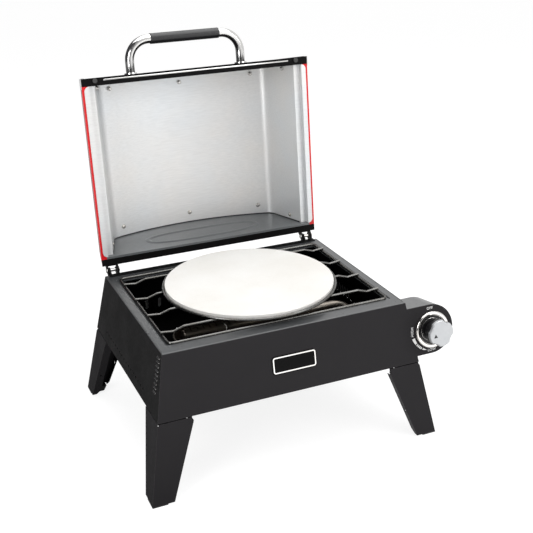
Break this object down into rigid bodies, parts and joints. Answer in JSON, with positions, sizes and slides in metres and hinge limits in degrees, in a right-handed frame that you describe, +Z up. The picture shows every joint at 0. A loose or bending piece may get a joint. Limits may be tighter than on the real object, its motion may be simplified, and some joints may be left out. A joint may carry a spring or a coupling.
{
  "type": "tabletop gas pizza oven",
  "caption": "Tabletop gas pizza oven with a hinged domed lid, a round baking stone on a wire rack, folding legs and a side gas knob.",
  "frame": {"origin": "on the table, under the middle of the base's top rim", "axes": "+Z up, +X to the right of someone at the knob side, +Y to the back, lid standing open"},
  "size_m": [0.6316, 0.6271, 0.7279],
  "materials": {
    "black_enamel": "satin powder coat",
    "charcoal_enamel": "satin powder coat",
    "grey_enamel": "satin enamel",
    "red_enamel": "gloss enamel",
    "liner_steel": "brushed",
    "trim_steel": "brushed",
    "burner_steel": "mill finish",
    "steel_pins": "satin",
    "rack_chrome": "plated wire",
    "chrome": "polished",
    "knob_silver": "metallic silver",
    "black_plastic": "matte",
    "pad_plastic": "matte",
    "rubber": "matte",
    "brass": "machined",
    "ceramic": "glazed ceramic",
    "stone": "matte fired stone"
  },
  "bodies": {
    "base": {"body_shell": "black_enamel", "fascia": "charcoal_enamel", "rim_frame": "grey_enamel", "floor_pan": "black_enamel", "control_housing": "grey_enamel", "valve_body": "brass", "gas_inlet": "brass", "bezel": "chrome", "dial": "black_plastic", "burner": "burner_steel", "mixing_tube": "burner_steel", "burner_tray": "burner_steel", "burner_saddles": "burner_steel", "tray_feet": "burner_steel", "igniter": "ceramic", "hinge_rail": "black_enamel", "hinge_pins": "steel_pins", "leg_brackets": "black_enamel", "leg_pivot_pins": "charcoal_enamel"},
    "lid": {"lid_shell": "red_enamel", "lid_liner": "liner_steel", "lid_front_cap": "black_enamel", "lid_back_cap": "black_enamel", "lid_inner_front": "black_enamel", "lid_inner_back": "black_enamel", "trim_band": "trim_steel", "lid_bumpers": "rubber", "lid_hinge_brackets": "black_enamel", "handle_tube": "trim_steel", "handle_grip": "black_plastic", "handle_feet": "trim_steel"},
    "rack": {"rack": "rack_chrome"},
    "stone": {"pizza_stone": "stone"},
    "stem_push": {"push_collar": "brass"},
    "knob": {"knob": "knob_silver", "valve_stem": "brass"},
    "leg_front_left": {"leg_front_left": "charcoal_enamel", "pad_front_left": "pad_plastic"},
    "leg_front_right": {"leg_front_right": "charcoal_enamel", "pad_front_right": "pad_plastic"},
    "leg_back_left": {"leg_back_left": "charcoal_enamel", "pad_back_left": "pad_plastic"},
    "leg_back_right": {"leg_back_right": "charcoal_enamel", "pad_back_right": "pad_plastic"}
  },
  "joints": [
    {"name": "lid_hinge", "type": "hinge", "parent": "base", "child": "lid", "pos_m": [0, 0.2015, 0.2764], "axis": [1, 0, 0], "range_deg": [0, 95.28]},
    {"name": "rack_lift", "type": "slide", "parent": "base", "child": "rack", "axis": [0, 0, 1], "range_m": [0, 0.005]},
    {"name": "stone_lift", "type": "slide", "parent": "rack", "child": "stone", "axis": [0, 0, 1], "range_m": [0, 0.05]},
    {"name": "knob_push", "type": "slide", "parent": "base", "child": "stem_push", "axis": [0, 0.9845, -0.1754], "range_m": [0, 0.003], "stiffness_N_per_m": 2000, "springref_m": -0.001},
    {"name": "knob_turn", "type": "hinge", "parent": "stem_push", "child": "knob", "pos_m": [0.293, -0.20055, 0.20838], "axis": [0, -0.9845, 0.1754], "range_deg": [0, 180]},
    {"name": "leg_front_left_fold", "type": "hinge", "parent": "base", "child": "leg_front_left", "pos_m": [-0.20336, -0.21244, 0.14159], "axis": [0, -0.9845, 0.1754], "range_deg": [0, 108]},
    {"name": "leg_front_right_fold", "type": "hinge", "parent": "base", "child": "leg_front_right", "pos_m": [0.20336, -0.21244, 0.14159], "axis": [0, 0.9845, -0.1754], "range_deg": [0, 108]},
    {"name": "leg_back_left_fold", "type": "hinge", "parent": "base", "child": "leg_back_left", "pos_m": [-0.20336, 0.21244, 0.14159], "axis": [0, -0.9845, -0.1754], "range_deg": [0, 108]},
    {"name": "leg_back_right_fold", "type": "hinge", "parent": "base", "child": "leg_back_right", "pos_m": [0.20336, 0.21244, 0.14159], "axis": [0, 0.9845, 0.1754], "range_deg": [0, 108]}
  ]
}
